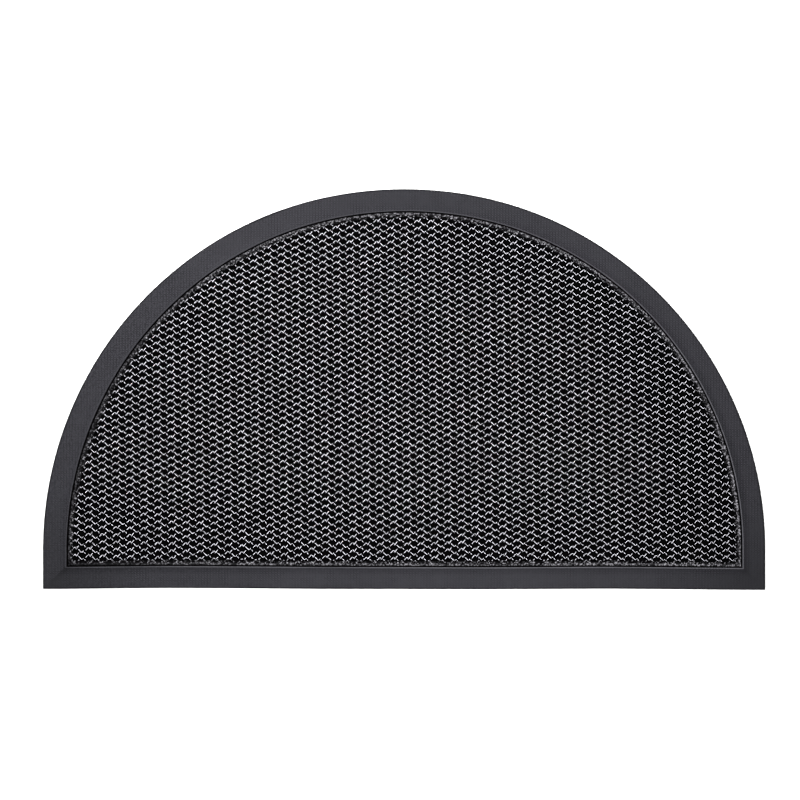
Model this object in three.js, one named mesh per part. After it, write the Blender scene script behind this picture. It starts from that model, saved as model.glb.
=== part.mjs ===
// A half-round scraper doormat: a bevelled border with a raised inner lip, a backing sheet whose
// rim lies under the border, and a panel of open zigzag web with a pressed margin, laid inside
// the lip. Millimetres, +Z up. The straight side faces -Y, and the origin is on the floor, in
// the middle of the mat's length and width.
import * as THREE from "three";

// The outline
const ARC_RADIUS = 450;
const LEG_LENGTH = 49.5; // straight stretch of each side, below the arc
const TOP_FLAT = 1.2; // how far the middle of the arc is flattened
const TOP_FLAT_HALF_ANGLE = THREE.MathUtils.degToRad(28);

// Heights
const BACKING_THICKNESS = 1.5;
const EDGE_WALL = 1.1; // upright part of the border's outer edge
const EDGE_THICKNESS = 2.3; // border just inside its rounded outer edge
const FACE_THICKNESS = 3; // border where its ramp starts
const LIP_HEIGHT = 6.3;
const MARGIN_HEIGHT = 4.2; // top of the web's pressed margin
const WEB_HEIGHT = 6; // top of the open web
const CLEARANCE = 0.3; // between two pieces that lie against each other

// Distances inwards from the outline
const EDGE_ROUND = 1.2;
const REBATE_INSET = 20.3; // outer wall of the rebate that takes the backing sheet's rim
const RAMP_INSET = 17;
const LIP_INSET = 27.2; // crest of the lip
const LIP_RADIUS = 0.9;
const WEB_INSET = 29.8; // rim of the web panel, past the groove
const MARGIN_WIDTH = 5.6;
const MARGIN_STEP = 1.6; // width of the slope from the margin up to the open web

// The border is a little narrower at the top and along the straight side: shares of its insets.
const INSET_SHARE = { left: 1.05, right: 1.015, top: 0.98, bottom: 0.975 };

// The straight side's gentle waves, and where they lie along it.
const BOTTOM_WAVES = [
  { x: -ARC_RADIUS, rise: 0.1 },
  { x: -290, rise: 1.2 },
  { x: -60, rise: 0 },
  { x: 90, rise: -0.3 },
  { x: 250, rise: 0.3 },
  { x: ARC_RADIUS, rise: -1.1 },
];

// Steps along the outline, and in the curves of a section
const ARC_STEPS = 80;
const LEG_STEPS = 2;
const BOTTOM_STEPS = 24;
const EDGE_STEPS = 3;
const RAMP_STEPS = 5;
const LIP_STEPS = 6;

const RAMP_POWER = 1.7; // above 1, so that the ramp steepens towards the lip
const CENTRE = new THREE.Vector2(0, ARC_RADIUS / 3); // where a panel's faces meet

// How far the straight side rises above its nominal line at x.
function bottomRise(x) {
  const next = BOTTOM_WAVES.findIndex((wave) => x <= wave.x);
  if (next <= 0) return BOTTOM_WAVES.at(next).rise;
  const [before, after] = [BOTTOM_WAVES[next - 1], BOTTOM_WAVES[next]];
  const share = THREE.MathUtils.smoothstep(x, before.x, after.x);
  return THREE.MathUtils.lerp(before.rise, after.rise, share);
}

// A point on the arc, angle 0 at the right end, lying inset inside the outline.
function arcPoint(angle, inset) {
  const side = angle < Math.PI / 2 ? INSET_SHARE.right : INSET_SHARE.left;
  const share = THREE.MathUtils.lerp(INSET_SHARE.top, side, Math.cos(angle) ** 2);
  const off = Math.min(Math.abs(angle - Math.PI / 2) / TOP_FLAT_HALF_ANGLE, 1);
  const flattened = TOP_FLAT * Math.cos((off * Math.PI) / 2) ** 2;
  const radius = ARC_RADIUS - flattened - inset * share;
  return new THREE.Vector2(radius * Math.cos(angle), radius * Math.sin(angle));
}

// A lower corner, moved inwards along its mitre. side is 1 at the right and -1 at the left.
function cornerPoint(side, inset) {
  const share = side > 0 ? INSET_SHARE.right : INSET_SHARE.left;
  const x = side * (ARC_RADIUS - inset * share);
  return new THREE.Vector2(x, bottomPoint(x, inset).y);
}

function bottomPoint(x, inset) {
  return new THREE.Vector2(x, -LEG_LENGTH + bottomRise(x) + inset * INSET_SHARE.bottom);
}

// The closed line that lies inset inside the outline, counter-clockwise from the right corner.
// Every line has the same steps, so that lines of two insets join into faces.
function outlineAt(inset) {
  const points = [];
  const rightCorner = cornerPoint(1, inset);
  const leftCorner = cornerPoint(-1, inset);
  for (let i = 0; i < LEG_STEPS; i++)
    points.push(rightCorner.clone().lerp(arcPoint(0, inset), i / LEG_STEPS));
  for (let i = 0; i < ARC_STEPS; i++)
    points.push(arcPoint((Math.PI * i) / ARC_STEPS, inset));
  for (let i = 0; i < LEG_STEPS; i++)
    points.push(arcPoint(Math.PI, inset).lerp(leftCorner, i / LEG_STEPS));
  for (let i = 0; i < BOTTOM_STEPS; i++) {
    const x = THREE.MathUtils.lerp(leftCorner.x, rightCorner.x, i / BOTTOM_STEPS);
    points.push(bottomPoint(x, inset));
  }
  return points;
}

// Turns a section once round as a lathe does, then lays the turned rings along the outline.
// A section is a list of { inset, z }, up the outer side, and an inset of null is the centre.
function halfRound(section) {
  const steps = 2 * LEG_STEPS + ARC_STEPS + BOTTOM_STEPS;
  const profile = section.map(({ inset, z }) => new THREE.Vector2(inset === null ? 0 : 1, z));
  const geometry = new THREE.LatheGeometry(profile, steps);
  const position = geometry.getAttribute("position");
  section.forEach(({ inset, z }, place) => {
    const line = inset === null ? Array(steps).fill(CENTRE) : outlineAt(inset);
    for (let step = 0; step <= steps; step++) {
      const { x, y } = line[step % steps];
      position.setXYZ(step * section.length + place, x, y, z);
    }
  });
  geometry.computeVertexNormals();
  return geometry;
}

// A quarter, half or other part of a round, from one angle to another in degrees.
function round(inset, z, radiusIn, radiusUp, from, to, steps) {
  return Array.from({ length: steps + 1 }, (_, i) => {
    const angle = THREE.MathUtils.degToRad(THREE.MathUtils.lerp(from, to, i / steps));
    return { inset: inset + radiusIn * Math.cos(angle), z: z + radiusUp * Math.sin(angle) };
  });
}

// The border: rounded outer edge, nearly level face, ramp, lip, inner wall and rebate.
function borderSection() {
  const roof = BACKING_THICKNESS + CLEARANCE;
  const lipStart = LIP_HEIGHT - LIP_RADIUS;
  const edge = round(EDGE_ROUND, EDGE_WALL, EDGE_ROUND, EDGE_THICKNESS - EDGE_WALL, 180, 90, EDGE_STEPS);
  const ramp = Array.from({ length: RAMP_STEPS }, (_, i) => ({
    inset: THREE.MathUtils.lerp(RAMP_INSET, LIP_INSET - LIP_RADIUS, i / RAMP_STEPS),
    z: THREE.MathUtils.lerp(FACE_THICKNESS, lipStart, (i / RAMP_STEPS) ** RAMP_POWER),
  }));
  const lip = round(LIP_INSET, lipStart, LIP_RADIUS, LIP_RADIUS, 180, 0, LIP_STEPS);
  const rebate = [
    { inset: LIP_INSET + LIP_RADIUS, z: roof },
    { inset: REBATE_INSET, z: roof },
    { inset: REBATE_INSET, z: 0 },
  ];
  const foot = { inset: 0, z: 0 };
  return [foot, ...edge, ...ramp, ...lip, ...rebate, foot];
}

function backingSection() {
  const rim = REBATE_INSET + CLEARANCE;
  return [
    { inset: null, z: 0 },
    { inset: rim, z: 0 },
    { inset: rim, z: BACKING_THICKNESS },
    { inset: null, z: BACKING_THICKNESS },
  ];
}

function webSection() {
  const bottom = BACKING_THICKNESS + CLEARANCE;
  const marginEnd = WEB_INSET + MARGIN_WIDTH;
  return [
    { inset: null, z: bottom },
    { inset: WEB_INSET, z: bottom },
    { inset: WEB_INSET, z: MARGIN_HEIGHT - CLEARANCE },
    { inset: WEB_INSET + CLEARANCE, z: MARGIN_HEIGHT },
    { inset: marginEnd, z: MARGIN_HEIGHT },
    { inset: marginEnd + MARGIN_STEP, z: WEB_HEIGHT },
    { inset: null, z: WEB_HEIGHT },
  ];
}

function piece(name, section, look) {
  const mesh = new THREE.Mesh(halfRound(section), new THREE.MeshStandardMaterial(look));
  mesh.name = name;
  return mesh;
}

const mat = new THREE.Group();
mat.add(
  piece("border", borderSection(), { color: 0x434248, roughness: 0.75, metalness: 0 }),
  piece("backing_sheet", backingSection(), { color: 0x161617, roughness: 0.85, metalness: 0 }),
  piece("web_panel", webSection(), { color: 0x2c2c30, roughness: 0.35, metalness: 0 }),
);

// The origin goes to the middle of the whole mat.
const middle = new THREE.Box3().setFromObject(mat).getCenter(new THREE.Vector3());
mat.position.set(-middle.x, -middle.y, 0);

export default mat;
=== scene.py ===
# A half-round scraper doormat: a bevelled, finely embossed vinyl border with a raised inner lip,
# a dark backing sheet, and a web of interlaced zigzag vinyl filaments with a pressed margin.
# Metres, +Z up, the straight side towards -Y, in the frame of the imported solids.
import math

import bmesh
import bpy
import numpy as np
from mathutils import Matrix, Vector, noise


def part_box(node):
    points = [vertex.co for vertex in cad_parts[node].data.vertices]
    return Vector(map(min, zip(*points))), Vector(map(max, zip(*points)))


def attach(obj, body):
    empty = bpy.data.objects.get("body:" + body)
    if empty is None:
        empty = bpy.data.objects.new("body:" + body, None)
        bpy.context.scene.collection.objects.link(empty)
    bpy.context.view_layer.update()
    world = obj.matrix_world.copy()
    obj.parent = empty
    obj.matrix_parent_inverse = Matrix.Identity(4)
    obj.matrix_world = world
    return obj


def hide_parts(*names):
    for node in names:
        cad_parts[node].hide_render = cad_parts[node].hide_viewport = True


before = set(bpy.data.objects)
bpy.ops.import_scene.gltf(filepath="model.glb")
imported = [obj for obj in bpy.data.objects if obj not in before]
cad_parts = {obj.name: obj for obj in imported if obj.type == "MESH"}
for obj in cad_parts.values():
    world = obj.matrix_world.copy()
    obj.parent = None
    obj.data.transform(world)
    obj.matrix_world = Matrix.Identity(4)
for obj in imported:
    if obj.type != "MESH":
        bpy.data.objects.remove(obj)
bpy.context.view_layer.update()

MM = 0.001
STRAY_SEED = 5
noise.seed_set(STRAY_SEED)  # unseeded, noise_vector differs from run to run

# The outline, as the solids have it
ARC_RADIUS = 450 * MM
LEG_LENGTH = 49.5 * MM  # straight stretch of each side, below the arc
TOP_FLAT = 1.2 * MM  # how far the middle of the arc is flattened
TOP_FLAT_HALF_ANGLE = math.radians(28)
ARC_CENTRE_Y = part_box("border")[1][1] - (ARC_RADIUS - TOP_FLAT)
BOTTOM_Y = ARC_CENTRE_Y - LEG_LENGTH
ROUNDING_ERROR = 1e-7  # a point this little below the arc's ends still counts as on it

# The straight side's gentle waves: places along it, and how far it rises there
WAVE_X = (-450 * MM, -290 * MM, -60 * MM, 90 * MM, 250 * MM, 450 * MM)
WAVE_RISE = (0.1 * MM, 1.2 * MM, 0, -0.3 * MM, 0.3 * MM, -1.1 * MM)

# Insets are distances inwards from the outline. The finished mat's are these shares of the
# nominal ones, with a further share added at the upper left and taken off at the upper right.
INSET_SHARE = {"left": 1.05, "right": 1.015, "top": 0.98, "bottom": 0.975}
INSET_SKEW = 0.035

# The border's section
EDGE_WALL = 1.1 * MM  # upright part of the outer edge
EDGE_THICKNESS = 2.3 * MM  # just inside the rounded outer edge
EDGE_ROUND = 1.2 * MM
FACE_THICKNESS = 3 * MM  # where the ramp starts
RAMP_INSET = 17 * MM
RAMP_POWER = 1.7  # above 1, so that the ramp steepens towards the lip
LIP_INSET = 27.2 * MM
LIP_RADIUS = 0.9 * MM
LIP_HEIGHT = 6.3 * MM
REBATE_INSET = 20.3 * MM  # outer wall of the rebate that takes the backing's rim
EDGE_STEPS = 5
FACE_STEPS = 5
RAMP_STEPS = 9
LIP_STEPS = 8
BORDER_STEPS = {"arc": 260, "leg": 12, "bottom": 160}
BORDER_CREASE_ANGLE = math.radians(40)
WELD_DISTANCE = 0.01 * MM

# The emboss on the border's face, and the unevenness of the whole of it
RIB_PITCH = 3.65 * MM
ROW_PITCH = 2.9 * MM
EMBOSS_DEPTH = 0.2 * MM
BORDER_SWAY = 0.35 * MM
BORDER_SWAY_SCALE = 14

# The backing
CLEARANCE = 0.3 * MM
BACKING_THICKNESS = 1.5 * MM
BACKING_RIM_ROUND = 0.3 * MM
BACKING_RIM_SEGMENTS = 2
BACKING_STEPS = {"arc": 180, "bottom": 60}

# The web: one cell of its pattern, and how its rows run across the mat
WEB_FLOOR = BACKING_THICKNESS + CLEARANCE
CELL_WIDTH = 17.19 * MM
CELL_HEIGHT = 8.915 * MM
CELL_X = 0.355  # part of a cell that lies left of the middle of the mat
CELL_Y = 0.21  # and above it
ROW_TILT = -0.0099  # rows fall this much to the right
COLUMN_LEAN = -0.0102  # and columns lean this much to the left
ROW_BOW = 7.9 * MM  # and rows rise this much towards the mat's ends
COLUMN_SWAY = 1.4 * MM  # columns sway to the left and right by this much,
COLUMN_SWAY_X = 120 * MM  # furthest to the left here,
COLUMN_SWAY_LENGTH = 486 * MM  # and again this far on
ROW_SWELL = 3.2 * MM  # rows near the straight side sink and rise by this much,
ROW_SWELL_X = -45 * MM  # lowest here,
ROW_SWELL_LENGTH = 450 * MM  # and again this far on,
ROW_SWELL_BELOW = (50 * MM, 190 * MM)  # growing between these distances below the middle,
ROW_SWELL_ALONG = (-260 * MM, -60 * MM)  # and between these places from the left,
ROW_SWELL_LEFT = 0.3  # where this share of it is left
ROW_HUMP = 1.3 * MM  # rows in the middle of the mat are pushed up by this much
ROW_HUMP_AT = (20 * MM, 71 * MM)
ROW_HUMP_REACH = (190 * MM, 70 * MM)
TOP_SINK = 1.4 * MM  # rows near the top of the arc lie lower by this much,
TOP_SINK_ABOVE = (100 * MM, 180 * MM)  # growing between these distances above the middle
ROWS = range(-29, 31)

# The web's filaments
FILAMENT_RADIUS = 1.05 * MM
FILAMENT_SIDES = 6
LOW_AXIS = 3.1 * MM  # height of a filament's middle where it passes under
HIGH_AXIS = 4.9 * MM  # and where it passes over
FILAMENT_END = 2.2 * MM  # how far inside the web's rim the filaments end
SHORTEST_RUN = 3  # points of a filament that are worth laying
BANDS = 5  # pieces that the rows are laid in
STRAY = 0.28 * MM  # how far a filament strays from its route,
STRAY_UP = 0.5  # times this up and down
STRAY_SCALE = 40
STRAY_ROW_STEP = 0.37  # so that neighbouring rows stray differently

# The pressed margin: a flat ridge along its rim, then a valley
WEB_INSET = 29.8 * MM
MARGIN_WIDTH = 5.6 * MM
MARGIN_HEIGHT = 4.2 * MM
MARGIN_STEP = 1.6 * MM  # half the way from the margin up to the open web
PRESSED_RADIUS = 1.5  # how much wider a filament is there, times its radius
RIDGE_TOP = MARGIN_HEIGHT - 0.6 * MM
RIDGE_ROUND = (0.4 * MM, 0.5 * MM)  # across and down
RIDGE_END = 2.4 * MM
VALLEY_START = 3.4 * MM
VALLEY_END = MARGIN_WIDTH - 0.4 * MM
VALLEY_DEPTH = 0.8 * MM
MARGIN_LUMP = 1.3 * MM
MARGIN_LUMP_SCALE = 420
MARGIN_FOOT = 0.3 * MM  # the lowest part, which has no lumps
MARGIN_STEPS = {"arc": 620, "leg": 16, "bottom": 400}
MARGIN_CREASE_ANGLE = math.radians(60)

# The stage
FLOOR_SIZE = 8
FLOOR_DROP = 0.2 * MM  # keeps the floor off the mat's underside
SKY_STRENGTH = 0.55
SOFTBOXES = [
    {"name": "softbox_above", "at": (0, 0, 0.85), "size": 0.6, "watts": 16.5},
    {"name": "softbox_behind", "at": (-0.69, 0.89, 0.65), "size": 0.6, "watts": 22},
    {"name": "softbox_high", "at": (0, 0, 3.5), "size": 2.5, "watts": 42},
]

# The camera, and the mat in the picture, in pixels
CAMERA_AT = (-5.1 * MM, -13.1 * MM, 8)
SENSOR_WIDTH = 36
PICTURE_WIDTH = 800
PICTURED_MAT_WIDTH = 722.2


def mix(a, b, share):
    """The value that lies this share of the way from a to b."""
    return a + (b - a) * share


def smooth(value, low, high):
    """0 below low, 1 above high, and smooth between."""
    share = np.clip((value - low) / (high - low), 0, 1)
    return share * share * (3 - 2 * share)


# The outline's unevenness


def bottom_rise(x):
    """How far the straight side rises above its nominal line."""
    rise = WAVE_RISE[0] + 0 * x
    for x0, x1, rise0, rise1 in zip(WAVE_X, WAVE_X[1:], WAVE_RISE, WAVE_RISE[1:]):
        rise = rise + (rise1 - rise0) * smooth(x, x0, x1)
    return rise


def arc_loss(angle):
    """How far the arc lies inside its circle."""
    off = np.minimum(abs(angle - math.pi / 2) / TOP_FLAT_HALF_ANGLE, 1)
    return TOP_FLAT * np.cos(off * math.pi / 2) ** 2


def arc_share(angle):
    """The share of its nominal width that an inset has at this angle of the arc."""
    side = np.where(angle < math.pi / 2, INSET_SHARE["right"], INSET_SHARE["left"])
    even = mix(INSET_SHARE["top"], side, np.cos(angle) ** 2)
    return even - INSET_SKEW * np.sin(2 * angle)


def inset_of(x, y):
    """The nominal distance inwards from the outline to the points x, y of the finished mat."""
    up = np.maximum(y - ARC_CENTRE_Y, 0)
    angle = np.arctan2(up, x)
    from_arc = (ARC_RADIUS - arc_loss(angle) - np.hypot(x, up)) / arc_share(angle)
    from_bottom = (y - BOTTOM_Y - bottom_rise(x)) / INSET_SHARE["bottom"]
    return np.minimum(from_arc, from_bottom)


def settle(x, y):
    """Where a point of an even half-round, with equal insets all round, lies on the uneven mat."""
    up = y - ARC_CENTRE_Y
    if up >= -ROUNDING_ERROR:
        angle = math.atan2(max(up, 0), x)
        inset = ARC_RADIUS - math.hypot(x, max(up, 0))
        radius = ARC_RADIUS - arc_loss(angle) - inset * arc_share(angle)
        return radius * math.cos(angle), ARC_CENTRE_Y + radius * math.sin(angle)
    side_inset = ARC_RADIUS - abs(x)
    bottom_inset = y - BOTTOM_Y
    inset = min(side_inset, bottom_inset)
    left = -(ARC_RADIUS - inset * INSET_SHARE["left"])
    right = ARC_RADIUS - inset * INSET_SHARE["right"]
    settled_x = mix(left, right, (x + ARC_RADIUS - inset) / (2 * (ARC_RADIUS - inset)))
    corner_y = BOTTOM_Y + bottom_rise(settled_x) + inset * INSET_SHARE["bottom"]
    if bottom_inset <= side_inset:
        return settled_x, corner_y
    share = (bottom_inset - side_inset) / (LEG_LENGTH - side_inset)
    return settled_x, mix(corner_y, ARC_CENTRE_Y, share)


# Shader sums

# Sockets by number, for nodes that have several
PLACE_ON_PIECE = 3  # out of Texture Coordinate
SURFACE_NORMAL = 1  # out of Geometry
ATTRIBUTE_VALUE = 2  # out of Attribute
MIX_SHARE, MIX_FIRST, MIX_SECOND = 0, 6, 7  # into Mix, for colours
MIX_COLOUR = 2  # and out of it


class Wire:
    """An output of a finish's node, so that sums can be written with it."""

    def __init__(self, finish, socket):
        self.finish = finish
        self.socket = socket

    def sum(self, operation, *terms):
        settings = {"operation": operation}
        return self.finish.node("ShaderNodeMath", settings, dict(enumerate(terms)))[0]

    def __add__(self, other):
        return self.sum("ADD", self, other)

    def __sub__(self, other):
        return self.sum("SUBTRACT", self, other)

    def __rsub__(self, other):
        return self.sum("SUBTRACT", other, self)

    def __mul__(self, other):
        return self.sum("MULTIPLY", self, other)

    __radd__ = __add__
    __rmul__ = __mul__

    def sine(self):
        return self.sum("SINE", self)

    def size(self):
        return self.sum("ABSOLUTE", self)

    def above(self, low, high):
        """0 below low, 1 above high, and smooth between."""
        settings = {"interpolation_type": "SMOOTHSTEP"}
        sockets = {"Value": self, "From Min": low, "From Max": high}
        return self.finish.node("ShaderNodeMapRange", settings, sockets)[0]


class Finish:
    """A material, made of nodes."""

    def __init__(self, name):
        self.material = bpy.data.materials.new(name)
        self.material.use_nodes = True
        self.tree = self.material.node_tree
        self.tree.nodes.clear()

    def node(self, kind, settings, sockets):
        """Adds a node, with its settings and the values or wires of its sockets."""
        made = self.tree.nodes.new(kind)
        for name, value in settings.items():
            setattr(made, name, value)
        for name, value in sockets.items():
            if isinstance(value, Wire):
                self.tree.links.new(value.socket, made.inputs[name])
            else:
                made.inputs[name].default_value = value
        return [Wire(self, socket) for socket in made.outputs]

    def everywhere(self):
        """The point on the mat, as one wire."""
        return self.node("ShaderNodeTexCoord", {}, {})[PLACE_ON_PIECE]

    def place(self):
        """The point's x, y and z on the mat."""
        return self.node("ShaderNodeSeparateXYZ", {}, {"Vector": self.everywhere()})

    def facing_up(self):
        """1 where the surface faces straight up."""
        normal = self.node("ShaderNodeNewGeometry", {}, {})[SURFACE_NORMAL]
        _, _, up = self.node("ShaderNodeSeparateXYZ", {}, {"Vector": normal})
        return up

    def marked(self, name):
        """A number that the piece's mesh carries under this name."""
        return self.node("ShaderNodeAttribute", {"attribute_name": name}, {})[ATTRIBUTE_VALUE]

    def speckle(self, scale, detail=2, roughness=0.5):
        """A noise with scale lumps to the metre, from 0 to 1."""
        sockets = {"Scale": scale, "Detail": detail, "Roughness": roughness}
        return self.node("ShaderNodeTexNoise", {}, {"Vector": self.everywhere(), **sockets})[0]

    def tint(self, share, first, second):
        """A colour between two, by share."""
        sockets = {MIX_SHARE: share, MIX_FIRST: first, MIX_SECOND: second}
        return self.node("ShaderNodeMix", {"data_type": "RGBA"}, sockets)[MIX_COLOUR]

    def bump(self, height, depth, strength):
        """The normal of a surface whose height 1 is this depth."""
        sockets = {"Height": height, "Distance": depth, "Strength": strength}
        return self.node("ShaderNodeBump", {}, sockets)[0]

    def surface(self, sockets):
        """Ends the finish in a Principled surface."""
        shader = self.node("ShaderNodeBsdfPrincipled", {}, sockets)[0]
        self.node("ShaderNodeOutputMaterial", {}, {"Surface": shader})
        return self.material


# Finishes

BORDER_DARK = (0.006, 0.0059, 0.0074, 1)
BORDER_PALE = (0.0208, 0.0204, 0.0243, 1)
# Painted shade for the lower corners, the mitre's crease and the outer edge, and a painted
# highlight for the lip
BORDER_CORNER_SHADE = (0.0062, 0.0062, 0.0074, 1)
BORDER_CREASE_SHADE = (0.003, 0.003, 0.0036, 1)
BORDER_EDGE_SHADE = (0.002, 0.002, 0.003, 1)
LIP_HIGHLIGHT = (0.054, 0.053, 0.06, 1)
BACKING_DARK = (0.0002, 0.0002, 0.0002, 1)
BACKING_PALE = (0.0012, 0.0012, 0.0013, 1)
WEB_BLACK = (0.0005, 0.0005, 0.0007, 1)
# A painted highlight on the web's crests
WEB_HIGHLIGHT = (0.82, 0.81, 0.885, 1)
PRESSED_BLACK = (0.0006, 0.0006, 0.0008, 1)
# A painted highlight on the pressed lumps that face up, and one on the margin's raised lumps
PRESSED_GREY = (0.17, 0.167, 0.18, 1)
MARGIN_GREY = (0.205, 0.2, 0.218, 1)
FLOOR_GREY = (0.90, 0.90, 0.90, 1)
FLOOR_WHITE = (0.93, 0.93, 0.93, 1)

# Noises, in lumps to the metre
BORDER_GRAIN = 650
BORDER_PATCHES = 9
BORDER_DEPTHS = 60
BACKING_GRAIN = 500
WEB_HIGHLIGHT_PATCHES = 260
WEB_GRAIN = 700
PRESSED_LUMPS = 430
MARGIN_LUMPS = 480
PAPER_MOTTLE = 6


def border_vinyl():
    """Matte dark vinyl with a canvas emboss, a painted highlight on the lip, painted shade on its
    outer edge, its lower corners and its mitre, and a painted pool of light on the middle of the
    straight side.
    """
    finish = Finish("border_vinyl")
    x, y, z = finish.place()
    from_side = ARC_RADIUS - x.size()
    from_bottom = y - BOTTOM_Y

    # The canvas emboss, deeper in some places than in others
    ribs = (x * (2 * math.pi / RIB_PITCH)).sine()
    rows = (y * (2 * math.pi / ROW_PITCH)).sine()
    grain = finish.speckle(BORDER_GRAIN, detail=3, roughness=0.6)
    patches = finish.speckle(BORDER_PATCHES, detail=3)
    depth = finish.speckle(BORDER_DEPTHS).above(0.3, 0.7)
    canvas = (ribs * rows * 0.8 + ribs * 0.5 + rows * 0.35) * (0.3 + 0.7 * depth)
    emboss = canvas + grain * 1.6

    # Its tones, with a stronger grain to the left, and a painted pool of light that makes the
    # middle of the straight side paler
    left_half = 1 - x.above(-440 * MM, -120 * MM)
    off_middle = (x - 50 * MM).size().above(130 * MM, 320 * MM)
    front = (1 - from_bottom.above(25 * MM, 60 * MM)) * (1 - off_middle)
    shade = 0.5 + canvas * 0.65 + (grain - 0.5) * (1.6 + 2.3 * left_half)
    shade = shade + (patches - 0.5) * 0.4 + front * 0.12
    colour = finish.tint(shade, BORDER_DARK, BORDER_PALE)

    # Painted shade towards the lower corners, with less of it on the legs' side of the mitre
    corner = x.size().above(300 * MM, 460 * MM) * (1 - from_bottom.above(0, 150 * MM))
    side = (from_bottom - from_side).above(-0.5 * MM, 0.5 * MM)
    left = 1 - x.above(-1 * MM, 1 * MM)
    corner_shade = corner * (0.55 + 0.13 * left - side * (0.05 + 0.21 * left))
    colour = finish.tint(corner_shade, colour, BORDER_CORNER_SHADE)

    # The mitre's crease, a painted shade line that fades along the straight side
    past_mitre = from_side - from_bottom
    crease_shade = past_mitre.above(-1 * MM, 1 * MM) * (1 - past_mitre.above(1 * MM, 13 * MM))
    crease_shade = crease_shade * from_bottom.above(5 * MM, 20 * MM) * corner * (0.2 + 0.3 * left)
    colour = finish.tint(crease_shade, colour, BORDER_CREASE_SHADE)

    # Painted shade on the outer edge, and a painted highlight on the lip, strongest towards the
    # lower right
    outer_edge_shade = 1 - z.above(2.2 * MM, 2.4 * MM)
    colour = finish.tint(outer_edge_shade, colour, BORDER_EDGE_SHADE)
    # The lip's pale colour is a painted highlight, brighter towards the lower right and faint at
    # the left end
    lip = z.above(5.7 * MM, 6.25 * MM)
    lit_side = (x * 0.8 - y).above(-450 * MM, 480 * MM)
    left_end = 1 - x.above(-450 * MM, -370 * MM)
    painted_highlight = lip * (0.4 + grain * 0.6) * (0.25 + lit_side) * (1 - 0.8 * left_end)
    colour = finish.tint(painted_highlight, colour, LIP_HIGHLIGHT)
    return finish.surface({
        "Base Color": colour,
        "Roughness": 0.6 + grain * 0.2,
        "Specular IOR Level": 0.08,
        "Normal": finish.bump(emboss, EMBOSS_DEPTH, strength=0.9),
    })


def backing_rubber():
    """Matte rubber, nearly black."""
    finish = Finish("backing_rubber")
    grain = finish.speckle(BACKING_GRAIN, detail=3)
    return finish.surface({
        "Base Color": finish.tint(grain, BACKING_DARK, BACKING_PALE),
        "Roughness": 0.8 + grain * 0.15,
        "Specular IOR Level": 0.01,
        "Normal": finish.bump(grain, 0.15 * MM, strength=0.6),
    })


def web_vinyl():
    """Black vinyl with a painted highlight along its upward-facing crests, and a painted highlight
    on its upward-facing lumps where it is pressed.
    """
    finish = Finish("web_vinyl")
    _, _, z = finish.place()
    pressed = finish.marked("pressed")
    highlight_patches = finish.speckle(WEB_HIGHLIGHT_PATCHES)
    grain = finish.speckle(WEB_GRAIN)
    lumps = finish.speckle(PRESSED_LUMPS)
    facing_up = finish.facing_up()
    # A painted highlight along the crests that face up, patchy by a noise
    crest = facing_up.above(0.966, 0.985) * z.above(5.2 * MM, 5.74 * MM)
    painted_highlight = crest * (0.55 + 0.45 * highlight_patches.above(0.3, 0.65))
    colour = finish.tint(painted_highlight, WEB_BLACK, WEB_HIGHLIGHT)
    # A painted highlight on the pressed lumps that face up
    mottle = facing_up.above(0.6, 0.97) * lumps.above(0.5, 0.6)
    grey = finish.tint(mottle, PRESSED_BLACK, PRESSED_GREY)
    return finish.surface({
        "Base Color": finish.tint(pressed, colour, grey),
        "Roughness": 0.3 + grain * 0.15 + pressed * 0.3,
        "Specular IOR Level": 0.02,
        "Normal": finish.bump(grain, 0.04 * MM, strength=0.4),
    })


def margin_vinyl():
    """Black vinyl pressed flat, with pits between its lumps and a painted highlight on the raised
    lumps.
    """
    finish = Finish("margin_vinyl")
    x, y, z = finish.place()
    lumps = finish.speckle(MARGIN_LUMPS)
    raised = z.above(2.6 * MM, 3.9 * MM)
    left_end = 1 - x.above(-420 * MM, -180 * MM)
    right_end = x.above(100 * MM, 360 * MM)
    front = 1 - y.above(BOTTOM_Y + 36 * MM, BOTTOM_Y + 50 * MM)
    # A painted highlight on the raised lumps, stronger to the right and weaker at the left end and
    # at the front
    amount = 0.7 + 0.3 * right_end - 0.5 * left_end - 0.12 * front
    painted_highlight = raised * (0.06 + 0.94 * lumps.above(0.44, 0.66)) * amount
    return finish.surface({
        "Base Color": finish.tint(painted_highlight, WEB_BLACK, MARGIN_GREY),
        "Roughness": 0.5 + lumps * 0.2,
        "Specular IOR Level": 0.03,
        "Normal": finish.bump(lumps, 0.3 * MM, strength=0.6),
    })


def floor_paper():
    """Matte white paper, hardly mottled."""
    finish = Finish("floor_paper")
    mottle = finish.speckle(PAPER_MOTTLE, detail=3)
    colour = finish.tint(mottle, FLOOR_GREY, FLOOR_WHITE)
    return finish.surface({"Base Color": colour, "Roughness": 0.9})


# Modelling


def begin():
    """Leaves nothing selected."""
    bpy.ops.object.select_all(action="DESELECT")


def finished(name, material, replaces):
    """Names the active object, gives it its finish, and ties it to the frame."""
    piece = bpy.context.object
    piece.name = piece.data.name = name
    piece.data.materials.clear()
    piece.data.materials.append(material)
    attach(piece, "root")
    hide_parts(replaces)
    return piece


def apply_modifier(piece, kind, **settings):
    """Gives the active piece a modifier of this kind and applies it."""
    modifier = piece.modifiers.new(kind.lower(), kind)
    for name, value in settings.items():
        setattr(modifier, name, value)
    bpy.ops.object.modifier_apply(modifier=modifier.name)


def rounded(inset, z, reach, rise, start, end, steps):
    """Points of a section on a part of a round, from one angle to another in degrees."""
    angles = [math.radians(mix(start, end, i / steps)) for i in range(steps + 1)]
    return [(inset + reach * math.cos(a), z + rise * math.sin(a)) for a in angles]


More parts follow.
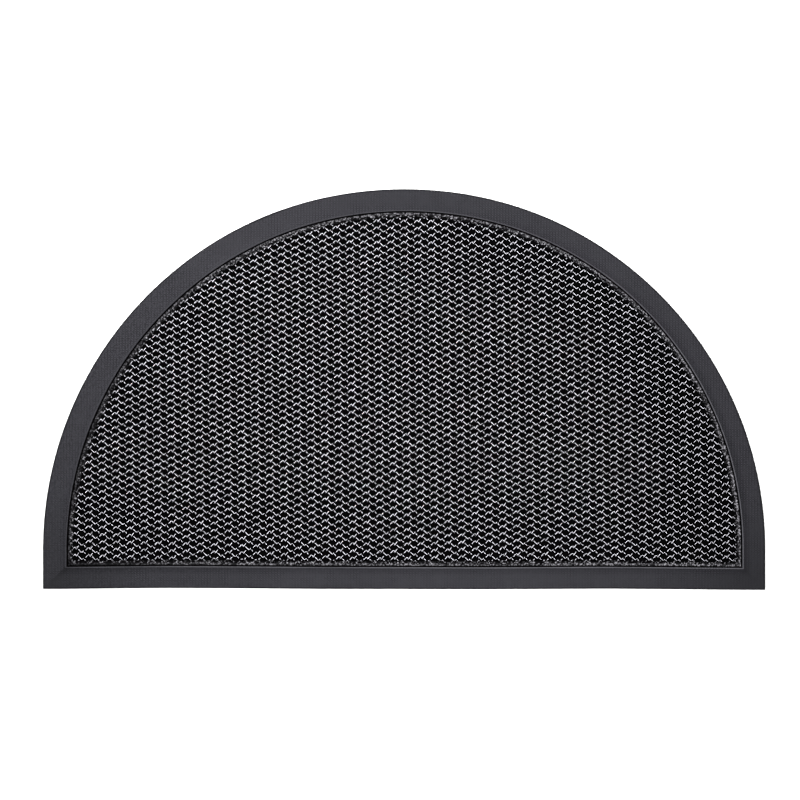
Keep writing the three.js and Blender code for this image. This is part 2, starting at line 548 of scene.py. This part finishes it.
def lump(at, scale, layer):
    """A noise with scale lumps to the metre at a point of the mat, from -1 to 1."""
    return noise.noise(Vector((at.x * scale, at.y * scale, layer)))


def place_selected(bar, pull, share):
    """Moves each selected vertex of the bar in edit mode to where pull puts it."""
    mesh = bmesh.from_edit_mesh(bar.data)
    for vertex in mesh.verts:
        if vertex.select:
            vertex.co = pull(vertex.co, share)
    bmesh.update_edit_mesh(bar.data)


def leg_place(at, share):
    """The point of a section that has come this share of the way down a leg."""
    inset = ARC_RADIUS - abs(at.x)
    return Vector((at.x, mix(ARC_CENTRE_Y, BOTTOM_Y + inset, share), at.z))


def bottom_place(at, share):
    """The point of a section that has come this share of the way along the straight side."""
    half = ARC_RADIUS - (at.y - BOTTOM_Y)
    return Vector((mix(-half, half, share), at.y, at.z))


def half_round_bar(section, steps):
    """A closed bar of a section, spun round the arc, then pulled down the left leg, along the
    straight side and up the right leg with mitred corners, and joined to its own start."""
    begin()
    bpy.ops.mesh.primitive_circle_add(
        vertices=len(section), radius=LIP_RADIUS, fill_type="NGON"
    )
    bar = bpy.context.object
    for vertex, (inset, z) in zip(bar.data.vertices, section):
        vertex.co = (ARC_RADIUS - inset, ARC_CENTRE_Y, z)
    bpy.ops.object.mode_set(mode="EDIT")
    bpy.ops.mesh.select_all(action="SELECT")
    bpy.ops.mesh.spin(
        steps=steps["arc"], angle=-math.pi, center=(0, ARC_CENTRE_Y, 0), axis=(0, 0, 1)
    )
    leg_shares = [i / steps["leg"] for i in range(1, steps["leg"] + 1)]
    bottom_shares = [i / steps["bottom"] for i in range(1, steps["bottom"] + 1)]
    pulls = [(leg_place, share) for share in leg_shares]
    pulls += [(bottom_place, share) for share in bottom_shares]
    pulls += [(leg_place, 1 - share) for share in leg_shares]
    for pull, share in pulls:
        bpy.ops.mesh.extrude_region_move()
        place_selected(bar, pull, share)
    bpy.ops.mesh.select_all(action="DESELECT")
    bpy.ops.mesh.select_face_by_sides(number=4, type="GREATER")
    bpy.ops.mesh.delete(type="ONLY_FACE")
    bpy.ops.mesh.select_all(action="SELECT")
    bpy.ops.mesh.remove_doubles(threshold=WELD_DISTANCE)
    bpy.ops.mesh.normals_make_consistent(inside=False)
    bpy.ops.object.mode_set(mode="OBJECT")
    for vertex in bar.data.vertices:
        vertex.co.x, vertex.co.y = settle(vertex.co.x, vertex.co.y)
    return bar


def make_border():
    """The border: rounded outer edge, nearly level face, ramp, lip, inner wall and rebate."""
    lip_start = LIP_HEIGHT - LIP_RADIUS
    edge_rise = EDGE_THICKNESS - EDGE_WALL
    section = [(0, 0)]
    section += rounded(EDGE_ROUND, EDGE_WALL, EDGE_ROUND, edge_rise, 180, 90, EDGE_STEPS)
    for i in range(1, FACE_STEPS):
        share = i / FACE_STEPS
        inset = mix(EDGE_ROUND, RAMP_INSET, share)
        section.append((inset, mix(EDGE_THICKNESS, FACE_THICKNESS, share)))
    for i in range(RAMP_STEPS):
        share = i / RAMP_STEPS
        inset = mix(RAMP_INSET, LIP_INSET - LIP_RADIUS, share)
        section.append((inset, mix(FACE_THICKNESS, lip_start, share**RAMP_POWER)))
    section += rounded(LIP_INSET, lip_start, LIP_RADIUS, LIP_RADIUS, 180, 0, LIP_STEPS)
    section += [(LIP_INSET + LIP_RADIUS, WEB_FLOOR), (REBATE_INSET, WEB_FLOOR)]
    section.append((REBATE_INSET, 0))
    bar = half_round_bar(section, BORDER_STEPS)
    for vertex in bar.data.vertices:
        at = vertex.co
        loose = smooth(at.z, EDGE_WALL, LIP_HEIGHT)
        at.z += BORDER_SWAY * lump(at, BORDER_SWAY_SCALE, layer=0.3) * loose
    bpy.ops.object.shade_smooth_by_angle(angle=BORDER_CREASE_ANGLE)
    finished("border_vinyl_frame", border_vinyl(), "border")


def make_backing():
    """The backing sheet, one flat piece with a rounded rim."""
    inset = REBATE_INSET + CLEARANCE
    radius = ARC_RADIUS - inset
    outline = []
    for i in range(BACKING_STEPS["arc"] + 1):
        angle = math.pi * i / BACKING_STEPS["arc"]
        outline.append((radius * math.cos(angle), ARC_CENTRE_Y + radius * math.sin(angle)))
    for i in range(BACKING_STEPS["bottom"] + 1):
        outline.append((mix(-radius, radius, i / BACKING_STEPS["bottom"]), BOTTOM_Y + inset))
    begin()
    bpy.ops.mesh.primitive_circle_add(vertices=len(outline), radius=radius, fill_type="NGON")
    sheet = bpy.context.object
    for vertex, (x, y) in zip(sheet.data.vertices, outline):
        vertex.co = (*settle(x, y), 0)
    bpy.ops.object.mode_set(mode="EDIT")
    bpy.ops.mesh.select_all(action="SELECT")
    bpy.ops.mesh.extrude_region_move(
        TRANSFORM_OT_translate={"value": (0, 0, BACKING_THICKNESS)}
    )
    bpy.ops.mesh.select_all(action="SELECT")
    bpy.ops.mesh.normals_make_consistent(inside=False)
    bpy.ops.object.mode_set(mode="OBJECT")
    apply_modifier(sheet, "BEVEL", width=BACKING_RIM_ROUND, segments=BACKING_RIM_SEGMENTS)
    piece = finished("backing", backing_rubber(), "backing_sheet")


def make_margin():
    """The web's rim, pressed into a flat lumpy band."""
    across, down = RIDGE_ROUND
    valley = RIDGE_TOP - VALLEY_DEPTH
    section = [
        (WEB_INSET, WEB_FLOOR),
        (WEB_INSET, RIDGE_TOP - down),
        (WEB_INSET + across, RIDGE_TOP),
        (WEB_INSET + RIDGE_END, RIDGE_TOP),
        (WEB_INSET + VALLEY_START, valley),
        (WEB_INSET + VALLEY_END, valley),
        (WEB_INSET + MARGIN_WIDTH, WEB_FLOOR),
    ]
    bar = half_round_bar(section, MARGIN_STEPS)
    apply_modifier(bar, "SUBSURF", subdivision_type="SIMPLE", levels=1, render_levels=1)
    for vertex in bar.data.vertices:
        at = vertex.co
        if at.z > WEB_FLOOR + MARGIN_FOOT:
            rise = MARGIN_LUMP * lump(at, MARGIN_LUMP_SCALE, layer=0.7)
            at.z = min(at.z + rise, MARGIN_HEIGHT)
    bpy.ops.object.shade_smooth_by_angle(angle=MARGIN_CREASE_ANGLE)
    finished("web_margin", margin_vinyl(), "web_panel")


# The two filaments of a cell, in shares of a cell from its corner: along the row, up across the
# rows, and the height, 0 where a filament passes under its neighbour and 1 where it passes over.
UPPER_FILAMENT = [
    (0.150, -0.862, 0.40),
    (0.185, -0.845, 0.66),
    (0.207, -0.812, 0.97),
    (0.260, -0.720, 1.00),
    (0.410, -0.405, 1.00),
    (0.458, -0.345, 0.97),
    (0.502, -0.425, 0.93),
    (0.545, -0.585, 0.90),
    (0.565, -0.640, 0.78),
    (0.590, -0.670, 0.42),
    (0.635, -0.660, 0.36),
    (0.668, -0.640, 0.78),
    (0.694, -0.642, 0.97),
    (0.750, -0.730, 1.00),
    (0.870, -0.962, 1.00),
    (0.948, -1.120, 0.88),
    (1.000, -1.020, 0.95),
    (1.060, -0.905, 1.00),
    (1.095, -0.865, 0.90),
]
LOWER_FILAMENT = [
    (0.532, -0.685, 0.80),
    (0.563, -0.660, 0.88),
    (0.600, -0.520, 0.90),
    (0.655, -0.350, 0.96),
    (0.710, -0.225, 0.97),
    (0.765, -0.135, 0.92),
    (0.805, -0.080, 0.45),
    (0.853, -0.021, 0.05),
    (1.045, 0.100, 0.10),
    (1.075, 0.050, 0.40),
    (1.108, -0.020, 0.88),
    (1.135, -0.085, 1.00),
    (1.205, -0.245, 1.00),
    (1.240, -0.330, 0.93),
    (1.275, -0.400, 0.45),
    (1.330, -0.480, 0.05),
    (1.422, -0.559, 0.05),
    (1.500, -0.630, 0.50),
]


def cell_point(across, up):
    """Where a point of the web's pattern, counted in cells, lies on the mat."""
    x = (across - CELL_X) * CELL_WIDTH
    y = (up + CELL_Y) * CELL_HEIGHT
    bow = ROW_BOW * (x / ARC_RADIUS) ** 2
    sway = COLUMN_SWAY * math.cos(2 * math.pi * (x - COLUMN_SWAY_X) / COLUMN_SWAY_LENGTH)
    wave = -math.cos(2 * math.pi * (x - ROW_SWELL_X) / ROW_SWELL_LENGTH)
    along = ROW_SWELL_LEFT + (1 - ROW_SWELL_LEFT) * smooth(x, *ROW_SWELL_ALONG)
    swell = ROW_SWELL * wave * (smooth(-y, *ROW_SWELL_BELOW) * along)
    off_x = (x - ROW_HUMP_AT[0]) / ROW_HUMP_REACH[0]
    off_y = (y - ROW_HUMP_AT[1]) / ROW_HUMP_REACH[1]
    hump = ROW_HUMP * math.exp(-(off_x**2) - off_y**2)
    sink = TOP_SINK * smooth(y, *TOP_SINK_ABOVE)
    rise = ROW_TILT * x + bow + swell + hump - sink
    return x + COLUMN_LEAN * y - sway, y + rise


def pressing(x, y):
    """1 in the pressed margin, 0 in the open web."""
    start = WEB_INSET + MARGIN_WIDTH - MARGIN_STEP
    return 1 - smooth(inset_of(x, y), start, start + 2 * MARGIN_STEP)


def filament_runs(cell, row):
    """One filament across the whole mat, in runs of points that lie inside the web's rim."""
    columns = int(ARC_RADIUS / CELL_WIDTH) + 2  # on each side of the middle, and past the rim
    points = []
    for column in range(-columns, columns):
        for across, up, height in cell:
            x, y = cell_point(column + across, row + up)
            where = Vector((x * STRAY_SCALE, y * STRAY_SCALE, row * STRAY_ROW_STEP))
            stray = noise.noise_vector(where) * STRAY
            z = mix(LOW_AXIS, HIGH_AXIS, height) + STRAY_UP * stray.z
            points.append((x + stray.x, y + stray.y, z))
    places = np.array(points)
    inside = inset_of(places[:, 0], places[:, 1]) > WEB_INSET + FILAMENT_END
    wider = mix(1, PRESSED_RADIUS, pressing(places[:, 0], places[:, 1]))
    runs, run = [], []
    for point, radius, kept in zip(points, wider, inside):
        if kept:
            run.append((*point, radius))
        elif run:
            runs.append(run)
            run = []
    return [r for r in [*runs, run] if len(r) >= SHORTEST_RUN]


def press_margin(piece):
    """Presses the filaments flat near the web's rim, and notes where, for the finish."""
    mesh = piece.data
    places = np.zeros(len(mesh.vertices) * 3)
    mesh.vertices.foreach_get("co", places)
    places = places.reshape(-1, 3)
    pressed = pressing(places[:, 0], places[:, 1])
    pressed_top = HIGH_AXIS + PRESSED_RADIUS * FILAMENT_RADIUS
    share = mix(1, (MARGIN_HEIGHT - WEB_FLOOR) / (pressed_top - WEB_FLOOR), pressed)
    height = WEB_FLOOR + (places[:, 2] - WEB_FLOOR) * share
    places[:, 2] = np.maximum(height, BACKING_THICKNESS)
    mesh.vertices.foreach_set("co", places.ravel())
    mesh.attributes.new("pressed", "FLOAT", "POINT").data.foreach_set("value", pressed)
    mesh.update()


def lay_filaments(name, runs, material):
    """One piece of filaments, each a tube along a run of points with its own radii."""
    begin()
    curve = bpy.data.curves.new(name, "CURVE")
    curve.dimensions = "3D"
    curve.twist_mode = "Z_UP"
    curve.bevel_depth = FILAMENT_RADIUS
    curve.bevel_resolution = (FILAMENT_SIDES - 4) // 2  # 0 gives a tube 4 sides, 1 gives it 6
    curve.use_fill_caps = True
    for run in runs:
        spline = curve.splines.new("POLY")
        spline.points.add(len(run) - 1)
        spline.points.foreach_set("co", [c for *at, _ in run for c in (*at, 1)])
        spline.points.foreach_set("radius", [radius for *_, radius in run])
    laid = bpy.data.objects.new(name, curve)
    bpy.context.scene.collection.objects.link(laid)
    bpy.context.view_layer.objects.active = laid
    laid.select_set(True)
    bpy.ops.object.convert(target="MESH")
    bpy.ops.object.shade_smooth()
    press_margin(bpy.context.object)
    finished(name, material, "web_panel")


def make_web():
    """All filaments, in a few pieces of neighbouring rows."""
    runs = []
    for row in ROWS:
        runs += filament_runs(UPPER_FILAMENT, row)
        runs += filament_runs(LOWER_FILAMENT, row)
    total = sum(len(run) for run in runs)
    bands = [[] for _ in range(BANDS)]
    done = 0
    for run in runs:
        bands[BANDS * done // total].append(run)
        done += len(run)
    material = web_vinyl()
    for number, band in enumerate(bands, 1):
        lay_filaments(f"web_filaments_{number}", band, material)


# Stage


def make_floor():
    """A wide pale floor under the mat."""
    begin()
    bpy.ops.mesh.primitive_plane_add(size=FLOOR_SIZE, location=(0, 0, -FLOOR_DROP))
    floor = bpy.context.object
    floor.name = "floor"
    floor.data.materials.append(floor_paper())


def make_lights():
    """A white sky, and softboxes that face the middle of the mat."""
    world = bpy.data.worlds.new("studio")
    world.use_nodes = True
    background = world.node_tree.nodes["Background"]
    background.inputs["Color"].default_value = (1, 1, 1, 1)
    background.inputs["Strength"].default_value = SKY_STRENGTH
    bpy.context.scene.world = world
    for softbox in SOFTBOXES:
        light = bpy.data.lights.new(softbox["name"], "AREA")
        light.shape = "SQUARE"
        light.size = softbox["size"]
        light.energy = softbox["watts"]
        holder = bpy.data.objects.new(softbox["name"], light)
        holder.location = softbox["at"]
        aim = Vector((0, 0, 0)) - Vector(softbox["at"])
        holder.rotation_euler = aim.to_track_quat("-Z", "Y").to_euler()
        holder.visible_camera = False
        bpy.context.scene.collection.objects.link(holder)


def make_camera():
    """Straight above the mat, with the lens that makes the mat as wide as it is pictured."""
    view_width = 2 * ARC_RADIUS * PICTURE_WIDTH / PICTURED_MAT_WIDTH
    eye = bpy.data.cameras.new("camera")
    eye.sensor_width = SENSOR_WIDTH
    eye.lens = SENSOR_WIDTH * (CAMERA_AT[2] - EDGE_WALL) / view_width
    holder = bpy.data.objects.new("camera", eye)
    holder.location = CAMERA_AT
    bpy.context.scene.collection.objects.link(holder)
    bpy.context.scene.camera = holder


make_camera()
make_border()
make_backing()
make_margin()
make_web()
make_floor()
make_lights()
bpy.context.scene.view_settings.view_transform = "Standard"
